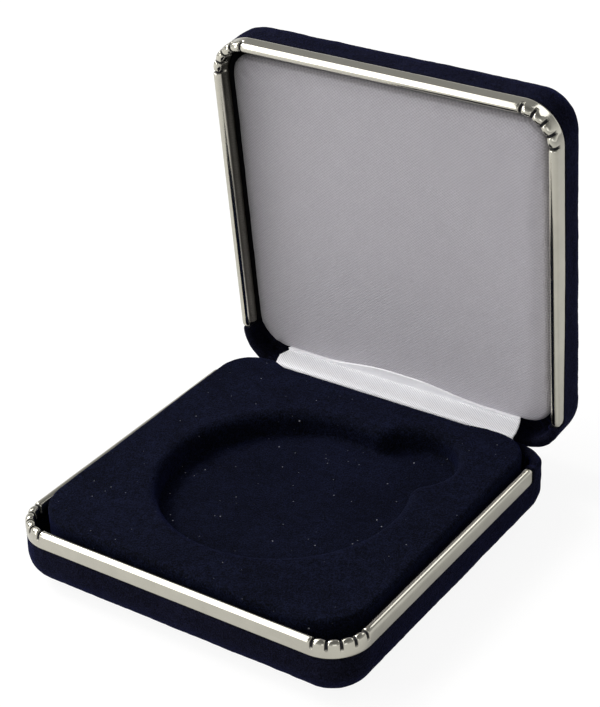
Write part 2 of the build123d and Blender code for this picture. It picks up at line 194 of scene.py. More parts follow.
# ---- the case's outline ----------------------------------------------------------------------
def outline(open_back):
    """Core points and outward normals round the case, anticlockwise from the left side's rear.

    The outline moved in by d is core + normal * (CORNER - d). With open_back it runs only
    from one end of the trim to the other. Steps are fine where the kerfs, the trim's ends and
    the hinge slot are."""
    cx, cy_front, cy_back = SIDE - CORNER, FRONT + CORNER, BACK - CORNER
    core, normal = [], []

    def straight(a, b, stops, n):
        for t in stops:
            core.append((a[0] + (b[0] - a[0]) * t, a[1] + (b[1] - a[1]) * t))
            normal.append(n)

    def corner(c, first, last, stops):
        for t in stops:
            angle = math.radians(first + (last - first) * t)
            core.append(c)
            normal.append((math.cos(angle), math.sin(angle)))

    start = TRIM_END if open_back else cy_back
    length = start - cy_front
    if open_back:
        fine_end = 2.4
        left_stops = np.concatenate([np.linspace(0, fine_end, 17)[:-1] / length,
                                     np.linspace(fine_end, length, 62)[:-1] / length])
        right_stops = 1 - left_stops[::-1]
    else:
        end_zone = (start - np.array([TRIM_END + 1.8, TRIM_END - 2.0])) / length
        stops = np.concatenate([np.linspace(0, 1, 70), np.linspace(end_zone[0], end_zone[1], 22)])
        left_stops = np.unique(np.clip(stops, 0, 1))[:-1]
        right_stops = np.concatenate([[0], 1 - left_stops[::-1]])[:-1]
    kerf_steps = np.array([-0.8, -0.6, -0.46, -0.4, -0.34, -0.27, -0.15, 0,
                           0.15, 0.27, 0.34, 0.4, 0.46, 0.6, 0.8])
    turns = np.concatenate([np.linspace(0, 90, 31)]
                           + [a + np.degrees(kerf_steps / CORNER) for a in KERF_ANGLES])
    turns = np.unique(turns[(turns > -1e-6) & (turns < 90 - 1e-6)]) / 90
    straight((-cx, start), (-cx, cy_front), left_stops, (-1, 0))
    corner((-cx, cy_front), 180, 270, turns)
    straight((-cx, cy_front), (cx, cy_front), np.linspace(0, 1, 82)[:-1], (0, -1))
    corner((cx, cy_front), 270, 360, turns)
    straight((cx, cy_front), (cx, start), right_stops, (1, 0))
    if not open_back:
        turns = np.unique(np.concatenate([np.linspace(0, 1, 30), np.linspace(0, 0.12, 9)]))[:-1]
        corner((cx, cy_back), 0, 90, turns)
        outside, inside = SLOT_HALF + 0.8, SLOT_HALF - 0.8
        at_slot = np.concatenate([np.linspace(cx, outside, 6)[:-1],
                                  np.linspace(outside, inside, 9)[:-1]])
        xs = np.concatenate([at_slot, np.linspace(inside, -inside, 58)[:-1], -at_slot[:0:-1]])
        straight((cx, cy_back), (-cx, cy_back), (cx - xs) / (2 * cx), (0, 1))
        corner((-cx, cy_back), 90, 180, np.linspace(0, 1, 30)[:-1])
    return np.array(core), np.array(normal)


def lid_extra(x):
    """How much further back the lid's trim goes, on the side that x is on."""
    return np.where(x > 0, LID_TRIM_EXTRA[1], LID_TRIM_EXTRA[0])


# ---- velour covers ---------------------------------------------------------------------------
def rear_dip(normal, outer, lid):
    """How far the bare rear rim sinks from its full height towards the hinge."""
    if lid or outer[1] < BACK - CORNER - 2:
        return 0.0
    full = BASE_DEPTH - WRAP_DROP - (SLOT_EDGE - BODY_LOW)
    angle = math.degrees(math.atan2(normal[1], abs(normal[0])))
    # the way along the outline from where the rear corner starts
    along = math.radians(angle) * CORNER
    if angle < 0.1:
        along += outer[1] - (BACK - CORNER)
    elif angle > 89.9:
        along += SIDE - CORNER - abs(outer[0])
    # a step at the trim's end, a slope round the corner, and the drop into the slot
    return float(0.75 * smooth((along + 1.4) / 2.4) + 0.95 * smooth((along - 2.5) / 6.5)
                 + (full - 1.7) * smooth((along - 18.0) / 4.5))


def tucked_section(depth):
    """The cloth from its lap inwards, where the trim clips over it: inset and height."""
    band_low = depth - BAND
    return resampled([(0.08, band_low - 0.06), (0.2, band_low + 0.04), (0.35, band_low + 0.06),
                      (0.58, band_low - 0.1), (0.62, depth - 1.7), (1.0, depth - 1.35),
                      (1.4, depth - 1.35), (1.8, depth - 1.7), (1.85, depth - HEM_LOW)],
                     SECTION_POINTS)


def wrapped_section(depth, top, inner, lid):
    """The same stretch of cloth where it goes over the bare rear rim."""
    start = min(depth - BAND, top - REAR_ROUND) - 0.05
    rim = [(0, start), (0, (start + top - REAR_ROUND) / 2), (0, top - REAR_ROUND)]
    rim += [(REAR_ROUND * (1 - math.cos(t)), top - REAR_ROUND * (1 - math.sin(t)))
            for t in arc_angles(10, 90, 9)]
    rim += [(inner - INNER_ROUND * (1 - math.sin(t)), top - INNER_ROUND * (1 - math.cos(t)))
            for t in arc_angles(0, 90, 9)]
    rim += [(inner, top - 1.6)]
    if lid:
        rim += [(inner + 0.1, depth - 4.9), (inner + 0.9, depth - 5.3), (inner + 4.3, depth - 5.35)]
    else:
        rim += [(inner, min(depth - HEM_LOW, top - 2.2))]
    return resampled(rim, SECTION_POINTS)


def cover_rows(core, normal, outer, ends, lid):
    """The cloth's sections round the outline, from the outer round to the hem inside."""
    depth = LID_DEPTH if lid else BASE_DEPTH
    band_low = depth - BAND
    arc = [(EDGE_ROUND * (1 - math.sin(t)), EDGE_ROUND * (1 - math.cos(t)))
           for t in arc_angles(0, 90, 17)]
    side = [(0, h) for h in np.linspace(EDGE_ROUND, band_low - 1.2, 6)[1:]]
    lap = [(0.0, band_low - 0.8), (0.0, band_low - 0.45), (0.03, band_low - 0.2)]
    first = len(arc) + len(side)
    inwards = first + len(lap)
    profile = np.array(arc + side + lap + [(0, 0)] * SECTION_POINTS)
    tucked = tucked_section(depth)
    # the lid's right-hand lap drifts up over the band towards the hinge
    drift = lid * smooth((outer[:, 0] - SIDE + 1.5) / 1.5) * (
        1.75 * smooth((outer[:, 1] + 25) / 75) - 0.3 * smooth((outer[:, 1] + 45) / 15))
    rows = []
    for i in range(len(core)):
        p = profile.copy()
        rear = float(smooth((outer[i, 1] - (ends[i] + 0.05)) / 0.75))
        in_slot = 0.0
        if not lid and normal[i, 1] >= 0.99:
            in_slot = float(smooth((SLOT_HALF + 0.35 - abs(outer[i, 0])) / 0.7))
        top = depth - WRAP_DROP - rear_dip(normal[i], outer[i], lid)
        inner = HEM_INNER - in_slot * (HEM_INNER - WALL_INNER - 0.02)
        under = tucked.copy()
        under[:, 1] += drift[i] * smooth((0.6 - under[:, 0]) / 0.1)
        over = 0.12 * smooth(drift[i] / 0.3)
        under[:, 0] -= over * smooth((0.4 - under[:, 0]) / 0.3)
        p[inwards:] = (1 - rear) * under + rear * wrapped_section(depth, top, inner, lid)
        p[first:inwards, 0] = (p[first:inwards, 0] - over) * (1 - rear)
        p[first:inwards, 1] += drift[i] * (1 - rear)
        if rear > 0:
            low = min(top - REAR_ROUND, band_low)
            side_part = (np.arange(len(p)) < inwards) & (p[:, 1] > EDGE_ROUND)
            squeeze = 1 - rear * (band_low - low) / (band_low - EDGE_ROUND)
            p[side_part, 1] = EDGE_ROUND + (p[side_part, 1] - EDGE_ROUND) * squeeze
        rows.append(np.column_stack([core[i] + normal[i] * (CORNER - p[:, :1]), p[:, 1]]))
    return np.array(rows)


def velour_cover(body):
    """The glued cloth: round the outside, under the metal band, and over the bare rear rim."""
    lid = body == "lid"
    core, normal = outline(False)
    outer = core + normal * CORNER
    ends = TRIM_END + lid * lid_extra(outer[:, 0])
    rows = cover_rows(core, normal, outer, ends, lid)
    # the flat outer face: rings that shrink to the middle, closed there by one face
    ring = rows[:, 0, :2]
    middle = ring.mean(0)
    face = np.stack([level(middle + (ring - middle) * s, 0.0)
                     for s in np.linspace(0.06, 0.97, FACE_RINGS)], axis=1)
    rows = np.concatenate([face, rows], axis=1)
    count, cols = rows.shape[:2]
    points = rows.reshape(-1, 3)
    faces = grid_faces(count, cols, wrap_rows=True, flip=not lid)
    faces.append(tuple(range(0, count * cols, cols))[::1 if lid else -1])
    obj = new_object(body + "_cover", placed(points, lid), faces)
    # soft lumps, calmer beside the trim's straight edge
    column = np.tile(np.arange(cols), count)
    under_trim = np.repeat(outer[:, 1] < ends, cols)
    band_low = (LID_DEPTH if lid else BASE_DEPTH) - BAND
    calm = np.exp(-np.maximum(band_low - points[:, 2], 0) / 0.8) * under_trim
    fine = 0.10 * smooth(column / FACE_RINGS - 0.2) * wave(points, 1.7, 3.1 + lid)
    lumps = (fine + 0.09 * wave(points, 7.0, 8.3 + lid) - 0.03) * (1 - 0.8 * calm)
    # gathers where the hem goes round the rear corners inside
    angle = np.repeat(np.degrees(np.arctan2(normal[:, 1], np.abs(normal[:, 0]))), cols)
    in_corner = np.exp(-((angle - 45) / 30) ** 2) * np.repeat(outer[:, 1] > ends, cols)
    folds = np.sin(np.radians(angle) * 14 + 1.2 * wave(points, 3.0, 5.0))
    lumps += (column >= cols - 16) * in_corner * 0.36 * folds
    hidden = (column >= cols - 37) & under_trim
    push(obj, np.where(hidden | (column < 1), 0, lumps))
    solidify(obj, PILE_THICKNESS)
    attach(obj, body)
    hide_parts(body + "_velour")
    return obj


def base_moulding():
    """The moulded box under the cloth, its rear rim dipping with the cloth's."""
    wall = 0.5                                  # its outer face's inset, under the cloth
    core, normal = outline(False)
    outer = core + normal * CORNER
    rows = []
    for i in range(len(core)):
        top = min(BASE_DEPTH - WRAP_DROP - rear_dip(normal[i], outer[i], False) - 0.9,
                  BASE_DEPTH - 1.95)
        low = min(EDGE_ROUND, top - 0.5)
        profile = [(wall + (EDGE_ROUND - wall) * (1 - math.sin(t)),
                    wall + (low - wall) * (1 - math.cos(t))) for t in arc_angles(0, 90, 9)]
        profile += [(wall, h) for h in np.linspace(low, top, 5)[1:]]
        profile += [(0.7, top + 0.12), (1.1, top + 0.12), (1.35, top), (1.35, 8.0), (1.6, 3.2),
                    (2.4, 2.2), (9.0, 2.0)]
        p = np.array(profile)
        rows.append(np.column_stack([core[i] + normal[i] * (CORNER - p[:, :1]), p[:, 1]]))
    rows = np.array(rows)
    middle = rows[:, 0, :2].mean(0)

    def closing(k, scale):
        """Rings from the profile's point k, shrunk towards the middle."""
        return np.stack([np.column_stack([middle + (rows[:, k, :2] - middle) * s, rows[:, k, 2]])
                         for s in scale], axis=1)

    rows = np.concatenate([closing(0, (0.001, 0.5, 0.9)), rows, closing(-1, (0.9, 0.5, 0.001))],
                          axis=1)
    obj = new_object("base_box", placed(rows.reshape(-1, 3), False),
                     grid_faces(*rows.shape[:2], wrap_rows=True, flip=True))
    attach(obj, "base")
    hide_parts("base_shell")
    return obj


# ---- edge trims ------------------------------------------------------------------------------
def trim_profile():
    """The channel's outer and inner sides, as inset and height above its crown's top."""
    middle, crown_low, band_low = CROWN_WIDTH / 2, -BEAD_HEIGHT, CROWN_TOP_DROP - BAND
    leg_low = CROWN_TOP_DROP - LEG
    outer = [(0.12, band_low + 0.02), (0.03, band_low + 0.16)]
    outer += [(0.02, h) for h in np.linspace(band_low + 0.5, crown_low - 0.15, 9)]
    outer += [(middle - (middle - 0.02) * math.cos(t), crown_low + BEAD_HEIGHT * math.sin(t))
              for t in arc_angles(0, 90, 20)]
    outer += [(middle + middle * math.sin(t), crown_low + BEAD_HEIGHT * math.cos(t))
              for t in arc_angles(6, 90, 14)]
    outer += [(CROWN_WIDTH, h) for h in np.linspace(crown_low - 0.3, leg_low + 0.1, 6)]
    outer += [(CROWN_WIDTH - 0.08, leg_low)]
    inner = [(CROWN_WIDTH - SHEET + 0.06, leg_low), (CROWN_WIDTH - SHEET, leg_low + 0.1)]
    inner += [(middle + (middle - SHEET) * math.cos(t),
               crown_low + (BEAD_HEIGHT - SHEET) * math.sin(t)) for t in arc_angles(0, 180, 11)]
    inner += [(SHEET, crown_low - 0.6), (SHEET, band_low + 0.02)]
    return np.array(outer), np.array(inner)


def kerf_distance(point, normal, corner_angle):
    """How far along the outline the nearest saw cut is."""
    if abs(normal[1]) < 1e-9:
        return point[1] - (FRONT + CORNER) + math.radians(90 - KERF_ANGLES[-1]) * CORNER
    if abs(normal[0]) < 1e-9:
        return SIDE - CORNER - abs(point[0]) + math.radians(KERF_ANGLES[0]) * CORNER
    return min(abs(math.radians(90 - corner_angle - a)) * CORNER for a in KERF_ANGLES)


def edge_trim(body, seed):
    """One plated channel with saw cuts at the front corners, its crown beaded between them."""
    lid = body == "lid"
    depth = LID_DEPTH if lid else BASE_DEPTH
    core, normal = outline(True)
    outer, inner = trim_profile()
    profile = np.concatenate([outer, inner])
    across = len(outer)
    is_outer = np.where(np.arange(len(profile)) < across, 1.0, 0.0)
    tangent = np.gradient(outer, axis=0)
    facing = np.zeros(profile.shape)
    facing[:across] = np.column_stack([-tangent[:, 1], tangent[:, 0]])
    facing[:across] /= np.linalg.norm(facing[:across], axis=1)[:, None]
    line = core + normal * CORNER
    along = np.concatenate([[0], np.cumsum(np.linalg.norm(np.diff(line, axis=0), axis=1))])
    corner_angle = np.degrees(np.arctan2(-normal[:, 1], np.abs(normal[:, 0])))
    front_zone = 60                             # the kerfs are further than this from the ends
    rows, kerf_shade = [], []
    for i in range(len(core)):
        p = profile.copy()
        from_end = min(along[i], along[-1] - along[i])
        # kerfs: a narrow cut over the crown and the tops of both legs
        cut = dark = round_over = bead_dip = 0.0
        if 0 < corner_angle[i] < 90 or from_end > front_zone:
            near = kerf_distance(line[i], normal[i], corner_angle[i])
            cut = 1 - float(smooth((near - KERF_HALF) / KERF_SLOPE))
            # painted shade: how far the saw cut's near-black colour reaches
            dark = 1 - float(smooth((near - 0.33) / 0.10))
            round_over = math.exp(-max(near - 0.24, 0) / 0.2)
            if 0.01 < corner_angle[i] < 89.99:
                inward = min(corner_angle[i], 90 - corner_angle[i]) / KERF_ANGLES[0]
                bead_dip = 0.18 * float(smooth(inward)) * math.exp(-(near / 0.9) ** 2)
        in_cut = smooth((p[:, 1] + KERF_DEPTH) / 0.25)
        bead = smooth((p[:, 1] + 1.5) / 0.5)
        sunk = is_outer * (in_cut * (0.5 * cut + 0.14 * round_over * (1 - cut)) + bead_dip * bead)
        p -= facing * sunk[:, None]
        p[across:, 0] += (CROWN_WIDTH / 2 - p[across:, 0]) * 0.6 * cut * in_cut[across:]
        p[across:, 1] -= 0.55 * cut * in_cut[across:]
        if lid:
            # the inner leg leans in, except on the right
            lean = 0.5 * (1 - float(smooth((line[i, 0] - 36) / 4)))
            p[:, 0] += lean * smooth((-p[:, 1] - 1.2) / 2.2) * (p[:, 0] > CROWN_WIDTH / 2)
        if from_end < END_ROUND:
            t = 1 - math.sqrt(max(0.0, 1 - (1 - from_end / END_ROUND) ** 2))
            share = np.where(p[:, 1] < -BEAD_HEIGHT, 0.14, 0.7)
            p[:, 1] += -(p[:, 1] + BEAD_HEIGHT) * share * t
            p[:, 0] += (CROWN_WIDTH / 2 - p[:, 0]) * 0.22 * t
        rows.append(np.column_stack([core[i] + normal[i] * (CORNER - p[:, :1]),
                                     depth - CROWN_TOP_DROP + p[:, 1]]))
        kerf_shade.append(in_cut * is_outer * dark)
    rows = np.array(rows)
    count, cols = rows.shape[:2]
    points = rows.reshape(-1, 3)
    if lid:
        points[:, 1] += lid_extra(points[:, 0]) * smooth((points[:, 1] - TRIM_END + 14) / 14)
    faces = grid_faces(count, cols, wrap_cols=True, flip=not lid)
    # one face closes each end
    for start, turn in ((0, lid), ((count - 1) * cols, not lid)):
        faces.append(tuple(range(start, start + cols))[::1 if turn else -1])
    obj = new_object(body + "_edge_trim", placed(points, lid), faces)
    push(obj, 0.02 * wave(points, 12.0, seed))
    # the saw cuts' painted shade, handed to the material as a point attribute
    attribute = obj.data.attributes.new("kerf_shade", "FLOAT", "POINT")
    attribute.data.foreach_set("value", np.array(kerf_shade, np.float32).reshape(-1))
    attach(obj, body)
    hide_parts(body + "_trim")
    return obj


# ---- flocked tray ----------------------------------------------------------------------------
TRAY_TOP, TRAY_LOW, RECESS_FLOOR = 17.65, 8.0, 11.5
TRAY_LEFT, TRAY_RIGHT, TRAY_FRONT, TRAY_BACK = 42.25, 41.8, -42.1, 40.6
TRAY_CORNER, TRAY_REAR_CORNERS = 12.5, (9.4, 9.7)       # front, then rear left and rear right
TRAY_ROUND, RIM_ROUND, FLOOR_ROUND = 1.0, 2.5, 0.9      # deck's edge, recess rim, recess floor
TRAY_THICKNESS = 0.8
COIN, COIN_RADIUS = np.array([0.0, -1.5]), 28.75
NOTCH, NOTCH_RADIUS, NOTCH_BLEND = np.array([19.3, 21.5]), 11.5, 4.0


def arc_points(centre, radius, first, last, count):
    turns = arc_angles(first, last, count)
    normal = np.column_stack([np.cos(turns), np.sin(turns)])
    return np.array(centre) + radius * normal, normal


def recess_outline():
    """Points and outward normals of the coin's circle and thumb notch, joined by blend arcs."""
    across = NOTCH - COIN
    distance = np.linalg.norm(across)
    facing = math.degrees(math.atan2(across[1], across[0]))
    to_blend, from_notch = COIN_RADIUS + NOTCH_BLEND, NOTCH_RADIUS + NOTCH_BLEND
    spread = math.degrees(math.acos((to_blend ** 2 + distance ** 2 - from_notch ** 2)
                                    / (2 * to_blend * distance)))
    blends = []
    for sign in (1, -1):
        angle = math.radians(facing + sign * spread)
        centre = COIN + to_blend * np.array([math.cos(angle), math.sin(angle)])
        to_coin, to_notch = COIN - centre, NOTCH - centre
        blends.append((centre, math.degrees(math.atan2(to_coin[1], to_coin[0])),
                       math.degrees(math.atan2(to_notch[1], to_notch[0]))))
    (high, high_coin, high_notch), (low, low_coin, low_notch) = blends

    def blend_arc(centre, first, last):
        turn = (last - first + 180) % 360 - 180
        p, n = arc_points(centre, NOTCH_BLEND, first, first + turn, 22)
        return p[1:-1], -n[1:-1]

    first, last = low_notch + 180, high_notch + 180
    parts = [arc_points(COIN, COIN_RADIUS, facing + spread, facing + 360 - spread, 560),
             blend_arc(low, low_coin, low_notch),
             arc_points(NOTCH, NOTCH_RADIUS, first, first + (last - first) % 360, 150),
             blend_arc(high, high_notch, high_coin)]
    return [np.concatenate(part)[:-1] for part in zip(*parts)]


def tray_back(x):
    """The tray's rear edge: full at both corners, drawn in where the satin strip passes."""
    return TRAY_BACK + 1.5 * smooth((-28 - x) / 4.5) + 0.9 * smooth((x - 23) / 6)


def inside_tray(p, inset):
    """Whether plan points lie inside the tray's outline moved in by inset."""
    left, back = p[:, 0] < 0, p[:, 1] > 0
    radius = np.where(back, np.where(left, *TRAY_REAR_CORNERS), TRAY_CORNER)
    reach_x = np.where(left, TRAY_LEFT, TRAY_RIGHT)
    reach_y = np.where(back, tray_back(p[:, 0]), -TRAY_FRONT)
    q = np.abs(p) - np.column_stack([reach_x, reach_y]) + radius[:, None]
    signed = np.minimum(q.max(1), 0) + np.linalg.norm(np.maximum(q, 0), axis=1) - radius
    return signed <= -inset


def tray_edge(directions, inset):
    """Where rays from the coin's middle meet the tray's outline moved in by inset."""
    near, far = np.full(len(directions), 10.0), np.full(len(directions), 80.0)
    for _ in range(34):
        mid = (near + far) / 2
        inside = inside_tray(COIN + directions * mid[:, None], inset)
        near, far = np.where(inside, mid, near), np.where(inside, far, mid)
    return COIN + directions * near[:, None]


def coin_tray():
    """Rings from the middle of the recess floor, up its wall, over the deck and down the skirt."""
    points, normals = recess_outline()
    rings = []
    shrunk = points - normals * (FLOOR_ROUND + 0.1)
    for s in np.concatenate([[0.001], np.linspace(0.05, 1, 30)]):
        rings.append(level(COIN + (shrunk - COIN) * s, RECESS_FLOOR))
    for t in arc_angles(15, 90, 6):
        rings.append(level(points - normals * FLOOR_ROUND * (1 - math.sin(t)),
                           RECESS_FLOOR + FLOOR_ROUND * (1 - math.cos(t))))
    wall_top = TRAY_TOP - RIM_ROUND
    for z in np.linspace(RECESS_FLOOR + FLOOR_ROUND, wall_top, 5)[1:]:
        rings.append(level(points, z))
    for t in arc_angles(9, 90, 10):
        rings.append(level(points + normals * RIM_ROUND * (1 - math.cos(t)),
                           wall_top + RIM_ROUND * math.sin(t)))
    inner = points + normals * (RIM_ROUND + 0.15)
    away = inner - COIN
    directions = away / np.linalg.norm(away, axis=1)[:, None]
    edge = tray_edge(directions, TRAY_ROUND)
    for t in np.linspace(0, 1, 22)[1:]:
        rings.append(level(inner + (edge - inner) * t, TRAY_TOP))
    for t in arc_angles(11, 90, 8):
        rings.append(level(tray_edge(directions, TRAY_ROUND * (1 - math.sin(t))),
                           TRAY_TOP - TRAY_ROUND * (1 - math.cos(t))))
    skirt = tray_edge(directions, 0.0)
    for z in np.linspace(TRAY_TOP - TRAY_ROUND, TRAY_LOW, 8)[1:]:
        rings.append(level(skirt, z))
    rows = np.array(rings)
    obj = new_object("tray", rows.reshape(-1, 3),
                     grid_faces(*rows.shape[:2], wrap_cols=True, flip=True))
    flat = rows.reshape(-1, 3)
    pile = 0.045 * wave(flat, 0.55, 1.0) + 0.04 * wave(flat, 1.4, 3.0)
    # the deck stands a little high at its left rear
    lifted = 0.3 * smooth((-flat[:, 0] - 33) / 8) * smooth((flat[:, 1] + 20) / 45) \
        * (flat[:, 2] > TRAY_TOP - 0.5)
    push(obj, pile + 0.05 * wave(flat, 6.0, 2.0) + 0.06 * wave(flat, 17.0, 6.0) + lifted)
    solidify(obj, TRAY_THICKNESS)
    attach(obj, "base")
    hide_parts("coin_tray")
    return obj


# ---- padded lid panel ------------------------------------------------------------------------
PANEL_SIDE, PANEL_FRONT, PANEL_BACK = 41.5, FRONT + 4.35, BACK - 5.4
PANEL_FACE, PANEL_REAR = PARTING + 2.4, PARTING + 2.4 + 3.4
PANEL_ROUND = 1.2
PUFF_CAP = 0.45                                 # how far the stuffing may move a point
SIM_SCALE = 10.0                                # the cloth is simulated this much larger
SIM_FRAMES = 20


def panel_loop(inset):
    """A closed loop round the panel, anticlockwise, with a wider corner at the rear left."""
    corners = [((PANEL_SIDE, PANEL_FRONT), 6.5, 270), ((PANEL_SIDE, PANEL_BACK), 6.5, 0),
               ((-PANEL_SIDE, PANEL_BACK), 8.7, 90), ((-PANEL_SIDE, PANEL_FRONT), 5.5, 180)]
    points = []
    for (x, y), radius, first in corners:
        centre = np.array([x - math.copysign(radius, x), y - math.copysign(radius, y)])
        for t in arc_angles(first, first + 90, 10):
            points.append(centre + max(radius - inset, 0.05) * np.array([math.cos(t), math.sin(t)]))
    return resampled(np.array(points + points[:1]), 185)[:-1]


def pad_mesh(name):
    """The panel before it is stuffed: a thin closed slab with rounded edges."""
    middle = np.array([0.0, (PANEL_FRONT + PANEL_BACK) / 2])
    face, wall = panel_loop(PANEL_ROUND), panel_loop(0.0)
    rings = [level(middle + (face - middle) * s, PANEL_FACE)
             for s in np.concatenate([[0.001], np.linspace(0.05, 0.97, 22)])]
    rings += [level(panel_loop(PANEL_ROUND * (1 - math.sin(t))),
                    PANEL_FACE + PANEL_ROUND * (1 - math.cos(t))) for t in arc_angles(0, 90, 7)]
    rings += [level(wall, z) for z in (PANEL_FACE + 2.0, PANEL_FACE + 2.7, PANEL_REAR)]
    rings += [level(middle + (wall - middle) * s, PANEL_REAR) for s in (0.9, 0.7, 0.45, 0.2, 0.001)]
    rows = np.array(rings)
    return new_object(name, opened(rows.reshape(-1, 3)),
                      grid_faces(*rows.shape[:2], wrap_cols=True))


def stuffed(mesh):
    """The mesh blown up by a cloth simulation while its glued back is held still."""
    scene = bpy.context.scene
    sim = bpy.data.objects.new("pad_sim", mesh.copy())
    scene.collection.objects.link(sim)
    write_points(sim.data, read_points(sim.data) * SIM_SCALE)
    remesh = sim.modifiers.new("remesh", "REMESH")
    remesh.mode = "VOXEL"
    remesh.voxel_size = 1.1 * MM * SIM_SCALE
    even = evaluated_mesh(sim)
    sim.modifiers.clear()
    sim.data = even
    rest = read_points(even)
    glued = sim.vertex_groups.new(name="glued")
    held = np.where(shut(rest / SIM_SCALE / MM)[:, 2] > PANEL_FACE + 1.9)[0]
    glued.add([int(i) for i in held], 1.0, "REPLACE")
    cloth = sim.modifiers.new("cloth", "CLOTH").settings
    cloth.quality = 5
    cloth.mass = 0.3
    cloth.tension_stiffness = cloth.compression_stiffness = 12
    cloth.bending_stiffness = 0.4
    cloth.use_pressure = True
    cloth.uniform_pressure_force = 4.0
    cloth.vertex_group_mass = "glued"
    cloth.effector_weights.gravity = 0
    for frame_number in range(1, SIM_FRAMES + 1):
        scene.frame_set(frame_number)
    blown = evaluated_mesh(sim)
    scene.frame_set(1)
    step = read_points(blown) - rest
    size = np.linalg.norm(step, axis=1)
    cap = PUFF_CAP * MM * SIM_SCALE
    step *= (cap * np.tanh(size / cap) / np.maximum(size, 1e-9))[:, None]
    write_points(even, (rest + step) / SIM_SCALE)
    bpy.data.objects.remove(sim)
    return even


def lid_pad():
    """Satin over foam, stuffed, with slight waves over its face."""
    obj = pad_mesh("lid_pad")
    obj.data = stuffed(obj.data)
    obj.data.shade_smooth()
    subdivide = obj.modifiers.new("subdivision", "SUBSURF")
    subdivide.levels = subdivide.render_levels = 1
    closed = shut(read_points(obj.data) / MM)
    front = smooth((PANEL_FACE + 1.0 - closed[:, 2]) / 1.0)
    push(obj, front * (0.05 * wave(closed, 11.0, 4.0) + 0.03 * wave(closed, 3.5, 9.0)))
    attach(obj, "lid")
    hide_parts("lid_lining", "lid_foam")
    return obj


# ---- satin strip over the hinge --------------------------------------------------------------
STRIP_THICKNESS = 0.16


def strip_path(lip):
    """The strip's section from behind the tray to the panel's foot; lip is its fold's height."""
    return [(41.3, 12.0), (41.28, 15.2), (41.32, 16.2), (41.55, 16.85), (42.1, 17.25),
            (43.0, 17.42), (45.0, 17.42), (47.2, 17.45), (47.9, 17.55), (48.08, 17.75),
            (48.02, 18.1), (47.9 - 0.1 * lip, 18.0 + 0.75 * lip),
            (47.86 - 0.15 * lip, 18.1 + 0.93 * lip), (47.95 - 0.08 * lip, 18.12 + lip),
            (48.8, 18.3 + lip), (49.7, 18.5 + lip)]


def hinge_ribbon():
    """Up behind the tray, back over the hinge, and its edge glued up the lid panel's foot."""
    cols, rows = 190, 72
    grid = []
    for t in np.linspace(0, 1, cols):
        x = -32.6 + 67.3 * t
        # the fold rises to a crescent in the strip's middle
        lip = 0.15 + 2.3 * float(smooth((x + 22) / 19) * smooth((26 - x) / 22))
        line = resampled(strip_path(lip), rows)
        y = line[:, 0]
        left = np.interp(y, [41, 42.5, 45.2, 47.5, 49.5], [-31.9, -32.05, -33.0, -32.4, -31.4])
        right = np.interp(y, [41, 43.2, 45.8, 48.8], [35.5, 35.5, 34.8, 33.7])
        grid.append(np.column_stack([left + (right - left) * t, line]))
    grid = np.array(grid)
    flat = grid.reshape(-1, 3)
    obj = new_object("hinge_ribbon", flat, grid_faces(cols, rows, flip=True))
    top_side = smooth((flat[:, 1] - 41.4) / 1.5)
    cross_creases = 0.07 * wave(flat * (1.0, 0.35, 0.35), 3.2, 2.0)
    push(obj, top_side * (cross_creases + 0.05 * wave(flat, 1.4, 7.0)))
    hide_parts("hinge_strip")
    solidify(obj, STRIP_THICKNESS)
    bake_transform(obj)
    return obj


# ---- materials -------------------------------------------------------------------------------
class Nodes:
    """The node tree of a material or of the world, with short calls."""

    def __init__(self, owner):
        owner.use_nodes = True
        self.owner, self.tree = owner, owner.node_tree
        self.tree.nodes.clear()

    def connect(self, socket, value):
        if isinstance(value, bpy.types.NodeSocket):
            self.tree.links.new(value, socket)
        else:
            socket.default_value = value

    def add(self, kind, inputs=None, **settings):
        node = self.tree.nodes.new(kind)
        for key, value in settings.items():
            setattr(node, key, value)
        for key, value in (inputs or {}).items():
            self.connect(node.inputs[key], value)
        return node

    def noise(self, vector, scale, detail, roughness):
        return self.add("ShaderNodeTexNoise", {"Vector": vector, "Scale": scale, "Detail": detail,
                                               "Roughness": roughness}).outputs["Fac"]

    def remap(self, value, low, high, to_low=0.0, to_high=1.0):
        return self.add("ShaderNodeMapRange", {
            "Value": value, "From Min": low, "From Max": high,
            "To Min": to_low, "To Max": to_high}).outputs["Result"]

    def mix(self, factor, a, b):
        return self.add("ShaderNodeMix", {0: factor, 6: a, 7: b}, data_type="RGBA").outputs[2]

    def math(self, operation, a, b=0.0):
        return self.add("ShaderNodeMath", {0: a, 1: b}, operation=operation).outputs[0]

    def times(self, a, b):
        return self.math("MULTIPLY", a, b)

    def plus(self, a, b):
        return self.math("ADD", a, b)

    def bump(self, height, distance, strength):
        return self.add("ShaderNodeBump", {"Height": height, "Distance": distance * MM,
                                           "Strength": strength}).outputs["Normal"]

    def place(self):
        """Object coordinates in mm."""
        coords = self.add("ShaderNodeTexCoord").outputs["Object"]
        return self.add("ShaderNodeVectorMath", {0: coords, "Scale": 1 / MM},
                        operation="SCALE").outputs[0]

    def principled(self, **inputs):
        """Ends a material in a Principled shader; gives the material."""
        shader = self.add("ShaderNodeBsdfPrincipled",
                          {key.replace("_", " "): value for key, value in inputs.items()})
        self.add("ShaderNodeOutputMaterial", {"Surface": shader.outputs[0]})
        return self.owner


def colour(r, g, b):
    return (r, g, b, 1.0)


def srgb(r, g, b):
    """A colour given by its screen values from 0 to 255."""
    return colour(*(c / 255 / 12.92 if c <= 10 else ((c / 255 + 0.055) / 1.055) ** 2.4
                    for c in (r, g, b)))


def darker(tone, share):
    return colour(*(c * share for c in tone[:3]))


def new_material(name):
    return Nodes(bpy.data.materials.new(name))


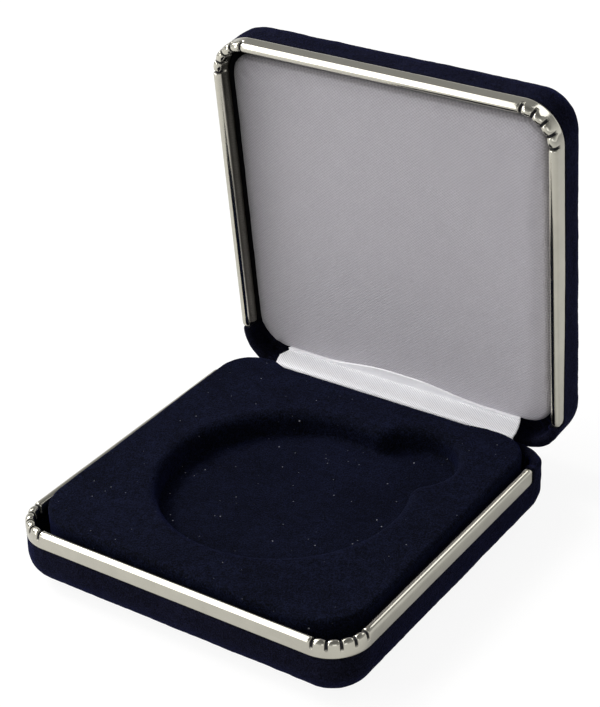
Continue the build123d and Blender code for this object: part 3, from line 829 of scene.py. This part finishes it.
def velvet(name, dark, light, specks, pile, shine):
    """Short navy pile: grain, mottled lay, painted glints, a bluish sheen and stray specks of lint.
    """
    m = new_material(name)
    at = m.place()
    broad = m.remap(m.noise(at, 0.07, 3.0, 0.6), 0.35, 0.65)
    patch = m.remap(m.noise(at, 0.6, 4.0, 0.7), 0.34, 0.66)
    grain = m.remap(m.noise(at, 2.7, 2.0, 0.8), 0.36, 0.64)
    lay = m.plus(m.plus(m.times(broad, 0.14), m.times(patch, 0.24)), m.times(grain, 0.62))
    tone = m.mix(m.math("POWER", m.remap(lay, 0.2, 0.85), 1.5), dark, light)
    # painted glints: lighter bluish flecks mixed into the pile's colour, standing in for sparkle
    # off the fibres
    painted_glint = m.remap(m.noise(at, 3.4, 2.0, 0.6), 0.60, 0.74)
    tone = m.mix(m.times(painted_glint, 0.35), tone, srgb(52, 58, 92))
    # lint: one speck in each cell, of any size, most of them faint
    cells = m.add("ShaderNodeTexVoronoi", {"Vector": at, "Scale": specks, "Randomness": 1.0},
                  feature="F1")
    chance = m.add("ShaderNodeSeparateColor", {0: cells.outputs["Color"]}).outputs
    reach = m.remap(chance[2], 0.0, 1.0, 0.09 * specks, 0.2 * specks)
    near = m.math("LESS_THAN", cells.outputs["Distance"], reach)
    kept = m.times(m.math("GREATER_THAN", chance[0], 0.35), m.math("POWER", chance[1], 4.0))
    tone = m.mix(m.times(near, kept), tone, srgb(175, 175, 188))
    normal = m.bump(m.plus(m.times(grain, 0.7), m.times(patch, 0.4)), pile, 0.9)
    return m.principled(Base_Color=tone, Roughness=0.9, Normal=normal, Specular_IOR_Level=0.03,
                        Sheen_Weight=shine, Sheen_Roughness=0.28, Sheen_Tint=srgb(70, 84, 190))


def nickel():
    """Rolled nickel-plated sheet: faint draw lines, soft smudges, and painted shade in the saw
    cuts.
    """
    m = new_material("nickel_trim")
    at = m.place()
    smudge = m.remap(m.noise(at, 0.18, 4.0, 0.6), 0.3, 0.7)
    fine = m.noise(at, 2.4, 3.0, 0.6)
    kerf_shade = m.add("ShaderNodeAttribute", attribute_name="kerf_shade").outputs["Fac"]
    tone = m.mix(smudge, srgb(206, 203, 190), srgb(197, 194, 182))
    # painted shade: the saw cuts turn near black, rough and unmetallic
    tone = m.mix(kerf_shade, tone, colour(0.004, 0.004, 0.008))
    rough = m.plus(m.remap(smudge, 0, 1, 0.12, 0.16), m.times(kerf_shade, 0.6))
    return m.principled(Base_Color=tone, Metallic=m.math("SUBTRACT", 1.0, kerf_shade), Roughness=rough,
                        Normal=m.bump(fine, 0.006, 0.5))


def satin(name, light, shade, pitch, slant, contrast, rough, depth=0.62, fuzz=0.4, gaps=0.62,
          gloss=0.3, smooth_from=None, painted_shade_left=None):
    """Woven satin: staggered raised floats, uneven thread and a soft gloss.

    pitch is the weave's size across and along, slant how much y and z count along it. Above the
    height smooth_from the weave fades out. painted_shade_left is where the panel's left edge is:
    painted shade darkens the satin towards it and towards the panel's top."""
    m = new_material(name)
    at = m.place()
    sway = m.times(m.noise(at, 0.12, 2.0, 0.5), 1.5)
    x, y, z = m.add("ShaderNodeSeparateXYZ", {0: at}).outputs
    across = m.math("SINE", m.plus(m.times(x, 2 * math.pi / pitch[0]), sway))
    rise = m.plus(m.times(y, slant[0]), m.times(z, slant[1]))
    along = m.math("SINE", m.times(rise, 2 * math.pi / pitch[1]))
    weave = m.remap(m.times(across, along), -1.0, 1.0)
    if smooth_from is not None:
        calm = m.remap(z, smooth_from, smooth_from + 0.35, 0.0, 0.85)
        weave = m.mix(calm, weave, colour(0.7, 0.7, 0.7))
    uneven = m.remap(m.noise(at, 0.22, 3.0, 0.6), 0.3, 0.7)
    thread = m.noise(at, 2.6, 3.0, 0.65)
    deep = darker(shade, depth)
    tone = m.mix(m.times(uneven, 0.3), light, shade)
    tone = m.mix(m.times(m.remap(weave, gaps, gaps - 0.36), contrast), tone, deep)
    tone = m.mix(m.remap(thread, 0.3, 0.75, 0.0, fuzz), tone, deep)
    # painted shade: near black mixed into the satin towards the panel's left edge and towards its
    # top
    if painted_shade_left is not None:
        from_left = m.math("EXPONENT", m.times(m.plus(x, -painted_shade_left), -1 / 8.5))
        painted_shade = m.plus(m.times(from_left, 0.84), m.remap(z, 30.0, 98.0, 0.0, 0.17))
        tone = m.mix(painted_shade, tone, colour(0.01, 0.01, 0.01))
    height = m.plus(m.times(weave, 0.8), m.times(thread, 0.2))
    return m.principled(Base_Color=tone, Roughness=rough, Normal=m.bump(height, 0.09, 0.9),
                        Sheen_Weight=0.3, Sheen_Roughness=0.5, Specular_IOR_Level=gloss)


def plain_surface(name, base, rough, metallic, grain, relief):
    m = new_material(name)
    fine = m.noise(m.place(), grain, 3.0, 0.6)
    tone = m.mix(m.remap(fine, 0.3, 0.7), base, darker(base, 0.8))
    return m.principled(Base_Color=tone, Roughness=rough, Metallic=metallic,
                        Normal=m.bump(fine, relief, 0.5))


# ---- build -----------------------------------------------------------------------------------
velour_paint = velvet("navy_velour", srgb(7, 7, 12), srgb(27, 28, 45), 0.25, 0.12, 0.2)
flock_paint = velvet("navy_flock", srgb(5, 6, 9), srgb(24, 28, 48), 0.58, 0.16, 0.12)
nickel_paint = nickel()
lining_paint = satin("lid_satin", srgb(217, 214, 221), srgb(201, 197, 206), (0.9, 0.74), (0.0, 1.0),
                     contrast=0.45, rough=0.5, painted_shade_left=-41.0)
strip_paint = satin("strip_satin", srgb(250, 250, 253), srgb(238, 238, 244), (0.80, 0.66),
                    (1.0, 1.0), contrast=0.95, rough=0.38, depth=0.5, fuzz=0.1, gaps=0.5,
                    gloss=0.8, smooth_from=17.58)
moulding_paint = plain_surface("moulding", colour(0.003, 0.003, 0.006), 0.8, 0.0, 1.5, 0.03)
steel_paint = plain_surface("plated_steel", colour(0.5, 0.49, 0.46), 0.3, 1.0, 2.0, 0.01)
card_paint = plain_surface("greyboard", colour(0.3, 0.28, 0.26), 0.9, 0.0, 2.0, 0.05)
under_paint = velvet("underside_felt", srgb(9, 9, 15), srgb(24, 25, 38), 0.15, 0.08, 0.1)

base_moulding().data.materials.append(moulding_paint)
for body, seed in (("base", 11.0), ("lid", 18.0)):
    velour_cover(body).data.materials.append(velour_paint)
    edge_trim(body, seed).data.materials.append(nickel_paint)
coin_tray().data.materials.append(flock_paint)
lid_pad().data.materials.append(lining_paint)
hinge_ribbon().data.materials.append(strip_paint)

# the CAD nodes: the hinge, springs and rivets are of plated steel
paint_of = {"base_shell": moulding_paint, "lid_shell": moulding_paint,
            "underside_card": under_paint, "tray_riser": card_paint, "lid_riser": card_paint,
            "lid_board": card_paint}
for node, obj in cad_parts.items():
    obj.data.materials.clear()
    obj.data.materials.append(paint_of.get(node, steel_paint))

# ---- floor and background --------------------------------------------------------------------
WHITE = colour(1, 1, 1)
FLOOR_HALF, FLOOR_LEVEL = 3.0, -0.0001          # metres; just under the case's flat bottom

scene = bpy.context.scene
scene.view_settings.view_transform = "Standard"

floor_mesh = bpy.data.meshes.new("floor")
floor_mesh.from_pydata([(x * FLOOR_HALF, y * FLOOR_HALF, FLOOR_LEVEL)
                        for x, y in ((-1, -1), (1, -1), (1, 1), (-1, 1))], [], [(0, 1, 2, 3)])
floor = bpy.data.objects.new("floor", floor_mesh)
scene.collection.objects.link(floor)
# for the camera it mostly glows, so that it is white; the rest takes the case's shadow
m = new_material("pale_floor")
path = m.add("ShaderNodeLightPath").outputs
bare = m.math("MAXIMUM", path["Is Camera Ray"], path["Is Transmission Ray"])
glow = m.plus(m.times(bare, 0.9), m.times(path["Is Glossy Ray"], 0.24))
keep = m.math("SUBTRACT", 0.75, m.plus(m.times(bare, 0.6), m.times(path["Is Glossy Ray"], 0.2)))
pale = m.add("ShaderNodeCombineColor", {0: keep, 1: keep, 2: keep}).outputs[0]
diffuse = m.add("ShaderNodeBsdfDiffuse", {"Color": pale})
emission = m.add("ShaderNodeEmission", {"Color": WHITE, "Strength": glow})
both = m.add("ShaderNodeAddShader", {0: diffuse.outputs[0], 1: emission.outputs[0]})
m.add("ShaderNodeOutputMaterial", {"Surface": both.outputs[0]})
floor_mesh.materials.append(m.owner)

# the world: white to the camera, a low even light, and a gradient in what is mirrored
world = bpy.data.worlds.new("studio")
scene.world = world
w = Nodes(world)
path = w.add("ShaderNodeLightPath").outputs
direction = w.add("ShaderNodeTexCoord").outputs["Generated"]
rise = w.add("ShaderNodeSeparateXYZ", {0: direction}).outputs[2]
mirrored = w.math("SUBTRACT", w.remap(rise, 0.0, 0.42, 1.0, 0.34),
                  w.remap(rise, 0.6, 0.9, 0.0, 0.16))
white = w.math("MAXIMUM", path["Is Camera Ray"], path["Is Transmission Ray"])
strength = w.plus(0.23, w.times(white, 0.77))
strength = w.plus(w.times(strength, w.math("SUBTRACT", 1.0, path["Is Glossy Ray"])),
                  w.times(mirrored, path["Is Glossy Ray"]))
studio = w.add("ShaderNodeBackground", {"Color": WHITE, "Strength": strength})
w.add("ShaderNodeOutputWorld", {"Surface": studio.outputs[0]})

# ---- lamps -----------------------------------------------------------------------------------
LAMP_AIM, LAMP_DISTANCE = Vector((0, 0, 0.03)), 0.80


def soft_box(name, direction, width, length, radiance, tint, along=(0, 0, 1)):
    """A rectangular lamp of even radiance, aimed at the case, its length laid along a direction."""
    data = bpy.data.lights.new(name, "AREA")
    data.shape = "RECTANGLE"
    data.size, data.size_y = width, length
    data.energy = radiance * math.pi * width * length
    data.color = tint
    obj = bpy.data.objects.new(name, data)
    scene.collection.objects.link(obj)
    away = Vector(direction).normalized()
    obj.location = LAMP_AIM + away * LAMP_DISTANCE
    upright = (Vector(along) - away * away.dot(Vector(along))).normalized()
    sideways = upright.cross(away)
    obj.rotation_euler = Matrix([[sideways[k], upright[k], away[k]] for k in range(3)]).to_euler()


soft_box("key", (-0.72, -0.06, 0.69), 0.34, 0.34, 11.6, (1.0, 0.99, 0.97))
# an arch of boxes over the left: the long white stripe along the rounded metal edges
for step, radiance in enumerate((3.0, 3.0, 2.6, 2.4)):
    lift = math.radians(12 + 30 * step)
    soft_box("arch_%d" % step, (-0.49, -0.87 * math.cos(lift), 0.87 * math.sin(lift)), 0.24, 0.46,
             radiance, (1.0, 0.99, 0.98), along=(0, math.sin(lift), math.cos(lift)))
soft_box("right_fill", (0.62, -0.70, 0.35), 0.40, 0.40, 0.8, (0.98, 0.98, 1.0))
soft_box("rear_top", (0.24, 0.70, 0.67), 0.30, 0.20, 1.8, (1.0, 1.0, 1.0))

# ---- camera, solved from the photograph's edges ----------------------------------------------
PHOTO_HEIGHT, SENSOR = 707, 36.0                # pixels; mm along the photograph's longer side
FOCAL_LENGTH, SHIFT_X, SHIFT_Y = 1959.97, -6.63, 45.84          # pixels
CAMERA_PLACE = (216.579, -302.263, 264.858)
AZIMUTH, ELEVATION, ROLL = (math.radians(a) for a in (34.845, 31.391, -2.097))

camera_data = bpy.data.cameras.new("camera")
camera_data.sensor_width = SENSOR
camera_data.lens = FOCAL_LENGTH * SENSOR / PHOTO_HEIGHT
camera_data.shift_x, camera_data.shift_y = SHIFT_X / PHOTO_HEIGHT, SHIFT_Y / PHOTO_HEIGHT
camera_data.clip_start, camera_data.clip_end = 0.01, 20
camera = bpy.data.objects.new("camera", camera_data)
scene.collection.objects.link(camera)
scene.camera = camera
forward = Vector((-math.sin(AZIMUTH) * math.cos(ELEVATION), math.cos(AZIMUTH) * math.cos(ELEVATION),
                  -math.sin(ELEVATION)))
right = Vector((math.cos(AZIMUTH), math.sin(AZIMUTH), 0))
up = right.cross(forward)
right, up = (right * math.cos(ROLL) + up * math.sin(ROLL),
             up * math.cos(ROLL) - right * math.sin(ROLL))
camera.location = Vector(CAMERA_PLACE) * MM
camera.rotation_euler = Matrix([[right[k], up[k], -forward[k]] for k in range(3)]).to_euler()
